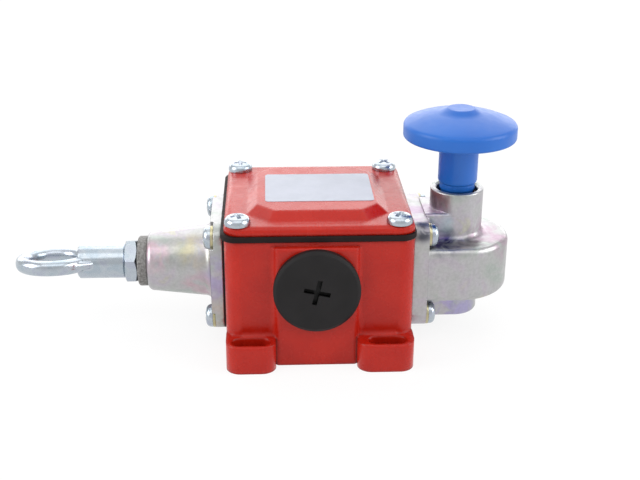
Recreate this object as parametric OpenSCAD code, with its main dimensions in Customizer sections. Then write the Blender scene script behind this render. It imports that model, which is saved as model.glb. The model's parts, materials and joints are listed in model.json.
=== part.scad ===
// Rope pull switch with a cable eye at one end and a reset knob at the other.
// +X runs along the rope towards the reset knob, +Y to the back, +Z up from the mounting face.
// The origin is the centre of the four mounting slots on the mounting face.

/* [Housing] */
// Length of the housing along the rope
housing_l = 71.2; // [64:0.2:90]
// Width of the housing across the rope
housing_w = 70; // [64:1:90]
// Height of the housing's rim over the mounting face
housing_h = 50; // [48:1:60]
// How far the housing's middle lies towards the reset head
housing_shift = 0.4; // [0:0.1:0.6]
// Radius of the housing's upright edges
housing_edge_r = 6; // [3:0.5:6]
// Thickness of the housing's walls
wall = 4; // [3:0.5:5]
// Thickness of the housing's floor
floor_t = 5; // [4:0.5:6]

/* [Cable entries] */
// Diameter of the cable entry
entry_d = 25; // [20:0.5:30]
// How far the entries' axis lies towards the rope head
entry_shift = 0.9; // [0:0.1:1.2]
// How far the boss round each entry stands out of the housing
boss_out = 2.5; // [2:0.1:3.2]
// Distance of the boss's top below the housing's rim
boss_drop = 1.8; // [1:0.1:4]
// Radius of the boss's top edge
boss_edge_r = 1; // [0.5:0.1:2]
// Radius of the boss's upright edges
boss_side_r = 1.3; // [1:0.1:1.4]
// Fillet between the boss and the housing's wall
boss_fillet_r = 2; // [1.8:0.1:3]
// How far the blanking plug's head laps over the entry's edge
plug_lap = 3.8; // [3.4:0.1:4.2]
// How far the plug's head stands out over the boss's sides
plug_overhang = 0.8; // [0:0.1:1]
// Distance of the plug's head below the boss's top
plug_drop = 0.1; // [0:0.1:1]
// Thickness of the plug's head
plug_head_t = 3.2; // [2.4:0.1:5]
// Length of the cross slot in the plug
plug_cross_l = 10; // [6:0.5:16]
// Width of the cross slot
plug_cross_w = 1.8; // [1:0.1:3]
// Depth of the cross slot
plug_cross_depth = 2; // [1:0.1:2.2]

/* [Feet] */
// Length of the feet beside the rope head
rope_foot_l = 18.9; // [17:0.1:22]
// Length of the feet beside the reset head
reset_foot_l = 21.5; // [19:0.1:23]
// How far each foot stands out of the housing
foot_out = 9.1; // [8.5:0.1:12]
// Height of the feet
foot_h = 11.4; // [6:0.2:14]
// Radius of the feet's upright corners
foot_corner_r = 5.5; // [2:0.5:6]
// Radius of the feet's top edges
foot_edge_r = 1.4; // [0.5:0.1:2.5]
// Distance of the slots' middles from the ends of the housing
slot_inset_x = 9.8; // [9.4:0.1:10.4]
// Distance of the slots' centre lines from the feet's outer faces
slot_inset_y = 4.4; // [4.2:0.1:4.6]
// Length of each slot, end to end
slot_l = 14.8; // [8:0.1:15]
// Width of each slot
slot_w = 6.3; // [4.5:0.1:6.5]

/* [Cover] */
// Thickness of the rubber gasket under the cover
gasket_t = 2.2; // [1:0.1:3]
// How far the gasket stands out all round
gasket_out = 0.9; // [0:0.1:1.5]
// Thickness of the cover's flange
cover_t = 3.2; // [3:0.1:5]
// Radius of the cover's top edge
cover_edge_r = 2.3; // [0.5:0.1:2.8]
// Distance of the raised panel's foot from the ends of the cover
panel_inset_x = 8.9; // [8.8:0.1:10]
// Distance of the raised panel's foot from the sides of the cover
panel_inset_y = 5.7; // [5.6:0.1:8]
// Height of the raised panel
panel_h = 2.9; // [2:0.1:4]
// Inward run of the panel's slope at the ends
panel_slope_x = 3.9; // [2:0.1:4.5]
// Inward run of the panel's slope at the sides
panel_slope_y = 4.9; // [2:0.1:6]
// Cut of the panel's corners
panel_corner = 9.4; // [8:0.2:11]
// Distance of the cover screws from the ends of the cover
cover_screw_inset_x = 5.6; // [5.2:0.1:6]
// Distance of the cover screws from the sides of the cover
cover_screw_inset_y = 5; // [4.8:0.1:5.4]
// Diameter of the cover screws
cover_screw_d = 5; // [4:0.5:5]
// Length of the cover screws' thread
cover_screw_l = 18; // [14:1:24]

/* [Heads on the end walls] */
// Width and height of the heads' square flanges
flange_a = 43.5; // [42:0.5:44]
// Corner radius of the flanges
flange_r = 6.5; // [4:0.5:7]
// Distance of the flanges' top below the housing's rim
flange_drop = 0.4; // [0:0.1:2]
// Distance of the flange screws from the flanges' edges
head_screw_inset = 5.15; // [5:0.05:5.6]
// Diameter of the flange screws
head_screw_d = 5; // [4:0.5:5]
// Thickness of the gaskets under the heads
head_gasket_t = 1; // [0.5:0.1:1.5]
// Thickness of the lock washers under the flange screws
washer_t = 1; // [0.5:0.1:1.5]

/* [Rope head] */
// Thickness of the rope head's flange
rope_flange_t = 4.8; // [4:0.1:6]
// Depth of the screws' seats in the corners of the flange
rope_seat_depth = 1.3; // [0.5:0.1:2]
// Distance from the flange's face to the end of the cone
cone_l = 25.8; // [24:0.2:34]
// Thickness of the cone's wall at its root
cone_wall = 3.6; // [3.4:0.1:3.8]
// Width of the cone's end face round the bush
cone_lip = 1.9; // [1.7:0.1:3]
// Radius of the flare at the cone's root
cone_flare_r = 3.1; // [1:0.1:3.2]
// Radius of the cone's outer edge
cone_edge_r = 2.5; // [0.5:0.1:2.8]
// Thickness of the bush's wall in the cone
bush_wall = 2.5; // [2.2:0.1:3]
// How far the bush's collar stands out
bush_collar_w = 2.5; // [1.5:0.1:3]
// Thickness of the bush's collar
bush_collar_t = 3.7; // [3:0.1:6]

/* [Pull rod] */
// Diameter of the rod in the rope head and the housing
rod_d = 10; // [8:0.5:12]
// Stroke of the rod from rest to its outer stop
pull_stroke = 12; // [8:0.5:12]
// Thickness of the lock nut
nut_t = 4.7; // [3:0.1:8]
// Turn of the lock nut about the rod
nut_turn = 9; // [0:1:59]
// Length of the eye's shank
shank_l = 18.9; // [14:0.1:26]
// Outer diameter of the eye's ring
eye_d = 29.6; // [26:0.2:40]
// Width of the ring's section
eye_wire_d = 5.2; // [4:0.1:6]
// Thickness of the ring along its own axis
eye_wire_h = 6; // [5.2:0.1:8]
// Turn of the eye about the rope's axis
eye_turn = 11.3; // [0:0.1:45]

/* [Reset head] */
// Thickness of the reset head's flange
reset_flange_t = 5.9; // [5:0.1:9]
// Distance of the knob's axis from the housing's end wall
knob_out = 20; // [20:0.2:24]
// How far the level round body's sides lie inside the flange's sides
slab_inset = 0.45; // [0.2:0.05:1.5]
// Height of the level round body
slab_h = 22.1; // [20:0.1:22.8]
// Radius of the level body's edges
slab_edge_r = 2.6; // [1:0.1:5]
// How far the upright column rises over the flange's top
column_rise = 0.7; // [0.2:0.1:2]
// Fillet between the column and the level body
column_fillet_r = 3.5; // [1:0.1:4]
// Height of the tower that guides the knob over the column's top
tower_rise = 7.9; // [6:0.1:12]

/* [Reset knob] */
// Diameter of the knob's head
knob_d = 44; // [30:0.2:50]
// Distance from the tower's top to the bottom of the knob's rim
knob_lift = 20.3; // [14:0.1:30]
// Height of the knob's rim
knob_rim_h = 5.7; // [4:0.1:8]
// Height of the knob's domed face over its rim
knob_dome_h = 5; // [3:0.1:8]
// Radius between the rim and the domed face
knob_edge_r = 2; // [1:0.1:2.5]
// Diameter of the flat on the knob's raised centre
knob_centre_d = 10.6; // [8:0.2:14]
// Height of the raised centre
knob_centre_h = 1; // [0.5:0.1:2]
// Diameter of the narrow part of the knob's stem
neck_d = 12.6; // [11:0.1:15.2]
// How far the knob is pushed in
push_stroke = 6; // [4:0.5:6]

/* [Contacts] */
// Length of each contact block along the rope
block_l = 13; // [12.6:0.2:14]
// Width of each contact block across the rope
block_w = 27; // [25:1:30]
// Diameter of the plungers
plunger_d = 4; // [3:0.5:4]
// Rise of the cam per millimetre of pull
cam_slope = 0.25; // [0.15:0.01:0.25]
// Thickness of the contact bracket's sheet
sheet_t = 1.6; // [1:0.2:2]

/* [Hidden] */
$fn = 96;
eps = 0.01;
fine = 0.05;          // play of a fitted pin, screw or shaft, on the radius
seat = 0.3;           // play between a moving piece and its stop
facets = 32;          // sides of the circles inside a hull

red = "#c8372c";
black = "#1f1f21";
zinc = "#b9bcc0";
steel = "#9aa0a6";
blue = "#3f78d8";
brass = "#c9a24b";

// pan heads: ratios to the head's diameter, and the cross recess
pan_dome = 0.67;
pan_flat_dome = 0.85;
pan_cross_l = 0.52;
pan_cross_w = 0.11;
pan_cross_z = 0.45;
pan_cross_turn = 20;
cover_head_d = cover_screw_d + 4.8;
cover_head_h = 3.6;
head_head_d = head_screw_d + 4;
head_head_h = 3.3;
m3 = 3;
m3_head_d = 5.4;
m3_head_h = 1.9;
m3_clear = 0.4;
m4 = 4;
m4_head_d = 7.8;
m4_head_h = 2.8;
terminal_head_d = 4.8;
terminal_head_h = 1.8;

// housing
side_y = housing_w / 2;
inner_x = housing_l / 2 - wall;
inner_y = side_y - wall;
inner_edge_r = 3;
screw_pitch_x = housing_l - 2 * cover_screw_inset_x;
screw_pitch_y = housing_w - 2 * cover_screw_inset_y;
post_wall = 3;
post_d = cover_screw_d + 2 * post_wall;
screw_clear = 0.4;
boss_y = side_y + boss_out;
boss_h = housing_h - boss_drop;
plug_head_d = entry_d + 2 * plug_lap;
boss_w = plug_head_d - 2 * plug_overhang;
entry_z = boss_h - plug_drop - plug_head_d / 2;
plug_wall = 2.5;
plug_rim = 0.8;
plug_cross_turn = -13;
seal_id = entry_d + 1.4;
seal_od = entry_d + 3.2;
seal_t = 0.95;
foot_y = side_y + foot_out;
foot_root = 8;
foot_fillet_r = 1.5;
slot_pitch_x = housing_l - 2 * slot_inset_x;
slot_pitch_y = 2 * (foot_y - slot_inset_y);
screw_boss_d = 9;
screw_boss_l = 5;
cover_z0 = housing_h + gasket_t;
cover_z1 = cover_z0 + cover_t;
panel_l = housing_l - 2 * panel_inset_x;
panel_w = housing_w - 2 * panel_inset_y;
panel_roof = 2.5;
panel_edge_r = 2;

// heads
axis_z = housing_h - flange_drop - flange_a / 2;
head_screw_pitch = flange_a - 2 * head_screw_inset;
head_hole_d = head_screw_d + 0.5;
washer_d = head_screw_d + 4.2;
washer_hole_d = head_screw_d + 0.3;
rope_face_x = -(end_x(-1) + head_gasket_t + rope_flange_t);
rope_seat_d = 12;
cone_tip_x = rope_face_x - cone_l;
bush_face_x = cone_tip_x - bush_collar_t;
bush_seat_l = 8.8;
bush_body_d = rod_d + 2 * bush_wall;
bush_d = bush_body_d + 2 * bush_collar_w;
bush_chamfer = 0.6;
spring_seat_x = cone_tip_x + bush_seat_l;
reset_head_x = end_x(1) + head_gasket_t;
reset_face_x = reset_head_x + reset_flange_t;
knob_x = end_x(1) + knob_out;

// rod and what it carries
rod_end_d = rod_d - 2;
spring_wire = 2.3;
spring_play = 2.1;
spring_d = rod_d + 2 * spring_play + 2 * spring_wire;
spring_hole_d = spring_d + 2.2;
cone_root_d = spring_hole_d + 2 * cone_wall;
cone_tip_d = bush_d + 2 * cone_lip;
nut_af = rod_d + 6;
nut_chamfer = 0.6;
nut_x = bush_face_x - seat;
shank_d = rod_d + 3.5;
shank_chamfer = 0.7;
shank_x = nut_x - nut_t;
shank_end_x = shank_x - shank_l;
eye_mean_r = (eye_d - eye_wire_d) / 2;
eye_sink = 2.2;
eye_x = shank_end_x + eye_sink - eye_mean_r;
eye_root_angle = 63;
eye_root_l = 13;
eye_root_r0 = eye_wire_d / 2 - 0.1;
eye_root_r1 = eye_wire_d / 4;
thread_l = 15.5;
rod_x0 = shank_x - thread_l;
rod_x1 = knob_x + pull_stroke + 2;
rod_chamfer = 0.8;
latch_t = 3;
latch_groove_l = latch_t + 0.4;
latch_groove_x = knob_x + pull_stroke - 2.1;
latch_groove_d = rod_end_d - 2.4;
collar_t = 4;
collar_d = spring_d - 0.8;
spigot_l = 2;
spigot_d = spring_d - 2 * spring_wire - 1;
spring_turns = 8;
wiper_d = rod_d + 3;
wiper_l = 2;
cam_r0 = rod_d / 2 + 1.2;
cam_ramp_l = pull_stroke + 2.5;
cam_lead = 2;
plunger_pitch = max(cam_ramp_l, block_l) + 0.5;
cam_x0 = -plunger_pitch / 2 - cam_lead - 10.5;
cam_x1 = plunger_pitch / 2 - cam_lead + cam_ramp_l + 1;
collar_x = cam_x0 - collar_t;
clip_t = 1.2;
clip_d = rod_d + 4;
clip_gap = 3;
clip_groove_d = rod_d - 1.6;
clip_x = cam_x1 + 0.1;
rod_step_x = clip_x + clip_t + 1.5;
inner_bush_d = rod_end_d + 6;
inner_bush_collar_d = inner_bush_d + 4;
inner_bush_collar_t = 2;

// contacts
ramp_angle = atan(cam_slope);
tip_gap = 0.2;
tip_r = plunger_d / 2;
plunger_x = [-plunger_pitch / 2, plunger_pitch / 2];
cam_contact_r = cam_r0 + cam_slope * cam_lead;
tip_z = axis_z + cam_contact_r + (tip_r + tip_gap) / cos(ramp_angle);
cam_peak_r = cam_r0 + cam_slope * cam_ramp_l;
bracket_z1 = axis_z + cam_peak_r + 2.2;
block_z0 = bracket_z1;
block_h = 12.2;
deck_h = 8.8;
hump_w = 12;
rib_t = 1.2;
plunger_collar_d = plunger_d + 1.6;
plunger_collar_t = 1.2;
plunger_pin_r = 1.2;
plunger_pin_h = 2.4;
plunger_spring_d = plunger_collar_d - 0.4;
plunger_spring_wire = 0.6;
chamber_d = plunger_collar_d + 0.9;
chamber_z0 = block_z0 + 2.4;
chamber_z1 = block_z0 + block_h - 1.2;
collar_z0 = chamber_z0 + 0.3;
terminal_dx = block_l / 2 - 3.3;
terminal_y = block_w / 2 - 3.5;
terminal_depth = 5;
terminal_plate = 2 * terminal_dx - rib_t;
clamp_t = 1;
mount_dx = block_l / 2 - 2.1;
mount_y = hump_w / 2 - 2;
leg_y = block_w / 2 + 2.1;
bracket_bend_r = 3;
bracket_l = plunger_pitch + block_l + 2;
bracket_foot_y = leg_y + 10.4;
bracket_screw_pitch_x = bracket_l - 8;
bracket_screw_pitch_y = 2 * leg_y + 11.8;
m3_floor_depth = 3.6;
earth_inset = 11.2;
earth_x = -(end_x(-1) - wall - earth_inset);
earth_y = -(inner_y - earth_inset);
earth_boss_z = floor_t + 3;
earth_depth = 2.5;
earth_plate = 8.2;
pocket_x = plunger_pitch + block_l + 8;
pocket_y = block_w + 15;
pocket_z = cover_t + panel_h - panel_roof;

// reset knob
stem_d = neck_d + 2.8;
neck_step_d = neck_d + 1.2;
neck_end_z = axis_z + rod_end_d / 2 + push_stroke + 1;
latch_slit_z = neck_end_z + 8;
latch_pin_z = neck_end_z + 4.5;
latch_pin_d = 3;
latch_pin_l = neck_d - 0.6;
latch_slot_w = rod_end_d + 0.8;
latch_w = latch_slot_w + 4.2;
latch_tang_w = neck_d - 0.8;
latch_foot_z = axis_z - 9.6;
latch_foot_t = 1.5;
latch_foot_d = latch_w - 1;
reset_spring_d = latch_foot_d - 2;
reset_spring_wire = 0.9;
reset_spring_turns = 4;

// reset head
slab_r = flange_a / 2 - slab_inset;
slab_z0 = axis_z + 0.6 - slab_h / 2;
cavity_d = latch_w + 3;
guide_z0 = neck_end_z + 1.35;
guide_z1 = guide_z0 + 5.8;
tower_bore_d = stem_d + 0.8;
tower_d = tower_bore_d + 4.7;
tower_edge_r = 0.6;
tower_mouth = 0.7;
column_r = max(cavity_d / 2 + 2.2, tower_d / 2 - 0.25);
column_z0 = axis_z - flange_a / 2;
column_z1 = axis_z + flange_a / 2 + column_rise;
column_edge_r = 1.4;
flange_fillet_r = head_screw_pitch / 2 - washer_d / 2 - column_r - 0.2;
cavity_z0 = column_z0 + 2.3;
rod_hole_d = rod_end_d + 1;
rod_hole_x = knob_x + slab_r - 3;
tower_z = column_z1 + tower_rise;
knob_rim_z = tower_z + knob_lift;
knob_rim_r = 1;
knob_under_h = 3;
knob_wall = 2.4;
knob_centre_slope = 1.65;
stem_z = tower_z + 2.4;
stem_chamfer_r = 0.4;
stem_chamfer_h = 0.8;
neck_step_z = tower_z - 0.4;

// Distance of an end wall's outer face from the origin: side -1 has the rope head, 1 the reset head
function end_x(side) = housing_l / 2 + side * housing_shift;

// --- shared shapes -----------------------------------------------------------

// Rounded rectangle centred on the origin
module rounded(x, y, r) {
  square([x - 2 * r, y], center = true);
  square([x, y - 2 * r], center = true);
  for (sx = [-1, 1], sy = [-1, 1])
    translate([sx * (x / 2 - r), sy * (y / 2 - r)])
      circle(r = r);
}

// Concave fillet in the corner at the origin, open towards +X and +Y
module fillet(r) {
  difference() {
    translate([-eps, -eps])
      square(r + eps);
    translate([r, r])
      circle(r = r);
  }
}

// Turns an outline drawn in X and Y into one that stands in Y and Z, extruded along +X
module along_x(length) {
  rotate([90, 0, 90])
    linear_extrude(length)
      children();
}

// The same for an outline that stands in X and Z, extruded along +Y
module along_y(length) {
  translate([0, length, 0])
    rotate([90, 0, 0])
      linear_extrude(length)
        children();
}

// Cylinder along +X on the rope's axis
module rod(x0, x1, d) {
  translate([x0, 0, axis_z])
    rotate([0, 90, 0])
      cylinder(h = x1 - x0, d = d);
}

// Solid of revolution about the rope's axis; the outline's X is the radius, its Y the distance along +X
module turned(x0) {
  translate([x0, 0, axis_z])
    rotate([0, 90, 0])
      rotate_extrude()
        children();
}

module ring(d_out, d_in, h) {
  difference() {
    cylinder(h = h, d = d_out);
    translate([0, 0, -eps])
      cylinder(h = h + 2 * eps, d = d_in);
  }
}

// Outline that stands on Y = 0, centred on X = 0, with rounded top corners
module topped(x, y, r) {
  translate([-x / 2, 0])
    square([x, y - r]);
  translate([r - x / 2, 0])
    square([x - 2 * r, y]);
  for (s = [-1, 1])
    translate([s * (x / 2 - r), y - r])
      intersection() {
        circle(r = r);
        translate([-r, r - y])
          square([2 * r, y]);
      }
}

// Pan head screw, head upwards, seated on Z = 0
module pan_screw(d, head_d, head_h, length, dome = pan_dome) {
  dome_r = head_d * dome;
  cross_l = head_d * pan_cross_l;
  cross_w = head_d * pan_cross_w;
  difference() {
    union() {
      intersection() {
        cylinder(h = head_h, d = head_d);
        translate([0, 0, head_h - dome_r])
          sphere(r = dome_r);
      }
      translate([0, 0, -length])
        cylinder(h = length + eps, d = d);
    }
    for (a = [0, 90])
      rotate([0, 0, a + pan_cross_turn])
        translate([-cross_l / 2, -cross_w / 2, head_h * pan_cross_z])
          cube([cross_l, cross_w, head_h]);
  }
}

// Height of a coil spring's wire after t of its turns: closed end turns, even pitch between them
function coil_z(t, wire, length, turns) =
  let (
    closed = 0.75,
    closed_pitch = wire * 1.06,
    end_z = wire / 2 + closed * closed_pitch,
    pitch = (length - 2 * end_z) / (turns - 2 * closed)
  )
  t < closed ? wire / 2 + t * closed_pitch
  : t > turns - closed ? length - wire / 2 - (turns - t) * closed_pitch
  : end_z + (t - closed) * pitch;

// Coil spring along +Z from Z = 0, swept round its helix
module coil(d_out, wire, length, turns, steps, sides) {
  mean_r = (d_out - wire) / 2;
  n = turns * steps;
  points = [
    for (i = [0 : n], j = [0 : sides - 1])
      let (
        a = 360 * i / steps,
        b = 360 * j / sides,
        r = mean_r + wire / 2 * cos(b)
      )
      [r * cos(a), r * sin(a), coil_z(i / steps, wire, length, turns) + wire / 2 * sin(b)]
  ];
  side_faces = [
    for (i = [0 : n - 1], j = [0 : sides - 1])
      let (k = (j + 1) % sides)
      [i * sides + j, i * sides + k, (i + 1) * sides + k, (i + 1) * sides + j]
  ];
  start_face = [for (j = [0 : sides - 1]) sides - 1 - j];
  end_face = [for (j = [0 : sides - 1]) n * sides + j];
  polyhedron(points = points, faces = concat([start_face], side_faces, [end_face]));
}

// Places its children at the four corners of a square pattern
module four(pitch_x, pitch_y) {
  for (sx = [-1, 1], sy = [-1, 1])
    translate([sx * pitch_x / 2, sy * pitch_y / 2, 0])
      children();
}

// Places its children, drawn upwards, on an end wall pointing outwards along side * X
module on_end(side, x) {
  translate([side * x, 0, axis_z])
    rotate([0, side * 90, 0])
      children();
}

// --- housing and cover -------------------------------------------------------

// Outline of both cable bosses: rounded edges that run into the walls in hollow fillets
module boss_plan() {
  edge_x = boss_w / 2 - boss_side_r;
  edge_y = boss_y - boss_side_r;
  both_r = boss_side_r + boss_fillet_r;
  hollow_x = edge_x + sqrt(pow(both_r, 2) - pow(both_r - boss_out, 2));
  hollow_y = side_y + boss_fillet_r;
  square([2 * edge_x, 2 * boss_y], center = true);
  for (mx = [0, 1], my = [0, 1])
    mirror([mx, 0])
      mirror([0, my]) {
        translate([edge_x, edge_y])
          circle(r = boss_side_r);
        difference() {
          polygon([
            [edge_x - eps, side_y - eps], [hollow_x, side_y - eps],
            [hollow_x, hollow_y], [edge_x, edge_y], [edge_x - eps, edge_y]
          ]);
          translate([hollow_x, hollow_y])
            circle(r = boss_fillet_r);
        }
      }
}

module cable_bosses() {
  translate([-entry_shift, 0, 0])
    intersection() {
      linear_extrude(boss_h)
        boss_plan();
      translate([-housing_l / 2, 0, 0])
        along_x(housing_l)
          topped(2 * boss_y, boss_h, boss_edge_r);
    }
}

// One foot at the +Y side, its outer end at X = 0, with its fillet against the side wall
module foot(length) {
  depth = foot_out + foot_root;
  intersection() {
    translate([-length / 2, foot_y - depth / 2, 0])
      linear_extrude(foot_h)
        rounded(length, depth, foot_corner_r);
    translate([-length, 0, 0])
      along_x(length)
        topped(2 * foot_y, foot_h, foot_edge_r);
  }
  translate([1 - length, side_y, foot_h])
    along_x(length - housing_edge_r - 1)
      fillet(foot_fillet_r);
}

module feet() {
  for (my = [0, 1])
    mirror([0, my, 0]) {
      translate([end_x(1), 0, 0])
        foot(reset_foot_l);
      translate([-end_x(-1), 0, 0])
        mirror([1, 0, 0])
          foot(rope_foot_l);
    }
}

module slot_hole() {
  translate([0, 0, -1])
    linear_extrude(foot_h + 2)
      union() {
        square([slot_l - slot_w, slot_w], center = true);
        for (s = [-1, 1])
          translate([s * (slot_l - slot_w) / 2, 0])
            circle(d = slot_w);
      }
}

// Outline of the housing's inside, which leaves a post round each cover screw
module cavity_plan() {
  difference() {
    translate([housing_shift, 0])
      rounded(2 * inner_x, 2 * inner_y, inner_edge_r);
    for (sx = [-1, 1], sy = [-1, 1])
      translate([sx * screw_pitch_x / 2, sy * screw_pitch_y / 2])
        circle(d = post_d);
  }
}

// Cylinders for the head screws, from a given distance inside each end wall's outer face
module head_screw_bosses(d, from_x, length) {
  for (side = [-1, 1])
    on_end(side, end_x(side) - from_x)
      four(head_screw_pitch, head_screw_pitch)
        cylinder(h = length, d = d);
}

module housing() {
  boss_x = wall + screw_boss_l;
  color(red)
    difference() {
      union() {
        difference() {
          union() {
            translate([housing_shift, 0, 0])
              linear_extrude(housing_h)
                rounded(housing_l, housing_w, housing_edge_r);
            cable_bosses();
            feet();
          }
          translate([0, 0, floor_t])
            linear_extrude(housing_h)
              cavity_plan();
        }
        head_screw_bosses(screw_boss_d, boss_x, screw_boss_l + 1);
        translate([earth_x, earth_y, floor_t - 1])
          cylinder(h = earth_boss_z - floor_t + 1, d = screw_boss_d);
      }
      four(slot_pitch_x, slot_pitch_y)
        slot_hole();
      translate([0, 0, cover_z1 - 1 - cover_screw_l])
        four(screw_pitch_x, screw_pitch_y)
          cylinder(h = cover_screw_l, d = cover_screw_d + 2 * fine);
      for (side = [-1, 1])
        translate([-entry_shift, side * (boss_y + 1), entry_z])
          rotate([side * 90, 0, 0])
            cylinder(h = wall + boss_out + 2, d = entry_d);
      rod(-end_x(-1) - 1, -end_x(-1) + wall + 1, spring_hole_d);
      rod(end_x(1) - wall - 1, end_x(1) + 1, inner_bush_d + 2 * fine);
      head_screw_bosses(head_screw_d + 2 * fine, boss_x - 1, boss_x + 3);
      translate([earth_x, earth_y, floor_t - earth_depth])
        cylinder(h = earth_boss_z, d = m4 + 2 * fine);
      translate([0, 0, floor_t - m3_floor_depth])
        four(bracket_screw_pitch_x, bracket_screw_pitch_y)
          cylinder(h = floor_t, d = m3 + 2 * fine);
    }
}

module cover_gasket() {
  color(black)
    translate([0, 0, housing_h])
      linear_extrude(gasket_t)
        difference() {
          rounded(housing_l + 2 * gasket_out, housing_w + 2 * gasket_out, housing_edge_r);
          cavity_plan();
          for (sx = [-1, 1], sy = [-1, 1])
            translate([sx * screw_pitch_x / 2, sy * screw_pitch_y / 2])
              circle(d = cover_screw_d + screw_clear);
        }
}

module cover_flange() {
  translate([housing_shift, 0, 0])
    intersection() {
      linear_extrude(cover_t)
        rounded(housing_l, housing_w, housing_edge_r);
      translate([0, -side_y, 0])
        along_y(housing_w)
          topped(housing_l, cover_t, cover_edge_r);
      translate([-housing_l / 2, 0, 0])
        along_x(housing_l)
          topped(housing_w, cover_t, cover_edge_r);
    }
}

// Flat slice of the raised panel: a rectangle with cut corners, slightly rounded
module panel_slice(x, y, corner) {
  r = panel_edge_r;
  for (sx = [-1, 1], sy = [-1, 1]) {
    translate([sx * (x / 2 - corner), sy * (y / 2 - r), 0])
      cylinder(h = eps, r = r, $fn = facets);
    translate([sx * (x / 2 - r), sy * (y / 2 - corner), 0])
      cylinder(h = eps, r = r, $fn = facets);
  }
}

module raised_panel() {
  top_l = panel_l - 2 * panel_slope_x;
  top_w = panel_w - 2 * panel_slope_y;
  hull() {
    translate([0, 0, cover_t - eps])
      panel_slice(panel_l, panel_w, panel_corner);
    translate([0, 0, cover_t + panel_h - eps])
      panel_slice(top_l, top_w, panel_corner - panel_edge_r);
  }
}

module cover() {
  color(red)
    translate([0, 0, cover_z0])
      difference() {
        union() {
          cover_flange();
          raised_panel();
        }
        translate([-pocket_x / 2, -pocket_y / 2, -1])
          cube([pocket_x, pocket_y, pocket_z + 1]);
        translate([0, 0, -1])
          four(screw_pitch_x, screw_pitch_y)
            cylinder(h = cover_t + 2, d = cover_screw_d + screw_clear);
      }
}

module cover_screws() {
  color(zinc)
    translate([0, 0, cover_z1])
      four(screw_pitch_x, screw_pitch_y)
        pan_screw(cover_screw_d, cover_head_d, cover_head_h, cover_screw_l);
}

// --- cable plugs -------------------------------------------------------------

// Blanking plug, seated on the face at Y = 0 and pointing to -Y
module cable_plug() {
  rim_z = plug_head_t - plug_rim;
  body_l = wall + boss_out;
  color(black)
    rotate([90, 0, 0])
      difference() {
        union() {
          cylinder(h = rim_z, d = plug_head_d);
          translate([0, 0, rim_z - eps])
            cylinder(h = plug_rim, d1 = plug_head_d, d2 = plug_head_d - 3 * plug_rim);
          translate([0, 0, -body_l])
            cylinder(h = body_l + eps, d = entry_d - 2 * fine);
        }
        translate([0, 0, -body_l - 1])
          cylinder(h = body_l, d = entry_d - 2 * plug_wall);
        for (a = [0, 90])
          rotate([0, 0, a + plug_cross_turn])
            translate([-plug_cross_l / 2, -plug_cross_w / 2, plug_head_t - plug_cross_depth])
              cube([plug_cross_l, plug_cross_w, plug_head_t]);
        translate([0, 0, -eps])
          ring(seal_od + 2 * fine, seal_id - 2 * fine, seal_t + fine);
      }
}

module cable_plug_front() {
  translate([-entry_shift, -boss_y, entry_z])
    cable_plug();
}

module cable_plug_rear() {
  translate([-entry_shift, boss_y, entry_z])
    rotate([0, 0, 180])
      cable_plug();
}

// Flat seal rings in the grooves under the plugs' heads
module plug_seals() {
  color(black)
    for (side = [-1, 1])
      translate([-entry_shift, side * boss_y, entry_z])
        rotate([-side * 90, 0, 0])
          ring(seal_od, seal_id, seal_t);
}

// --- rope head ---------------------------------------------------------------

// Half outline of the cone, from its tip at Y = 0 to the flange's face
module cone_profile() {
  tip_r = cone_tip_d / 2;
  root_r = cone_root_d / 2;
  polygon([
    [0, cone_edge_r], [tip_r, cone_edge_r], [root_r, cone_l - cone_flare_r],
    [root_r, cone_l + 1], [0, cone_l + 1]
  ]);
  square([tip_r - cone_edge_r, cone_edge_r + 1]);
  translate([tip_r - cone_edge_r, cone_edge_r])
    circle(r = cone_edge_r);
  translate([root_r, cone_l])
    mirror([0, 1])
      fillet(cone_flare_r);
}

module flange_holes(side, x, thickness) {
  on_end(side, x - 1)
    four(head_screw_pitch, head_screw_pitch)
      cylinder(h = thickness + 2, d = head_hole_d);
}

module rope_head() {
  back_x = end_x(-1) + head_gasket_t;
  color(zinc)
    difference() {
      union() {
        on_end(-1, back_x)
          linear_extrude(rope_flange_t)
            rounded(flange_a, flange_a, flange_r);
        turned(cone_tip_x)
          cone_profile();
      }
      rod(spring_seat_x, -back_x + 1, spring_hole_d);
      rod(cone_tip_x - 1, spring_seat_x + 1, bush_body_d + 2 * fine);
      flange_holes(-1, back_x, rope_flange_t);
      on_end(-1, -rope_face_x - rope_seat_depth)
        four(head_screw_pitch, head_screw_pitch)
          cylinder(h = rope_seat_depth + 1, d = rope_seat_d);
    }
}

module head_gasket(side, hole_d) {
  color(black)
    difference() {
      on_end(side, end_x(side))
        linear_extrude(head_gasket_t)
          difference() {
            rounded(flange_a, flange_a, flange_r);
            circle(d = hole_d);
          }
      flange_holes(side, end_x(side), head_gasket_t);
    }
}

module rope_head_gasket() {
  head_gasket(-1, spring_hole_d);
}

module reset_head_gasket() {
  head_gasket(1, inner_bush_d + 2);
}

// Flange screws of one head, on lock washers that are seated at seat_x
module head_screws(side, seat_x) {
  inside_x = end_x(side) - wall - screw_boss_l + 2;
  color(zinc)
    on_end(side, seat_x + washer_t)
      four(head_screw_pitch, head_screw_pitch)
        pan_screw(head_screw_d, head_head_d, head_head_h, seat_x + washer_t - inside_x, pan_flat_dome);
}

module head_washers(side, seat_x) {
  color(brass)
    on_end(side, seat_x)
      four(head_screw_pitch, head_screw_pitch)
        ring(washer_d, washer_hole_d, washer_t);
}

module rope_head_screws() {
  head_screws(-1, -rope_face_x - rope_seat_depth);
}

module rope_head_washers() {
  head_washers(-1, -rope_face_x - rope_seat_depth);
}

module reset_head_screws() {
  head_screws(1, reset_face_x);
}

module reset_head_washers() {
  head_washers(1, reset_face_x);
}

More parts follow.
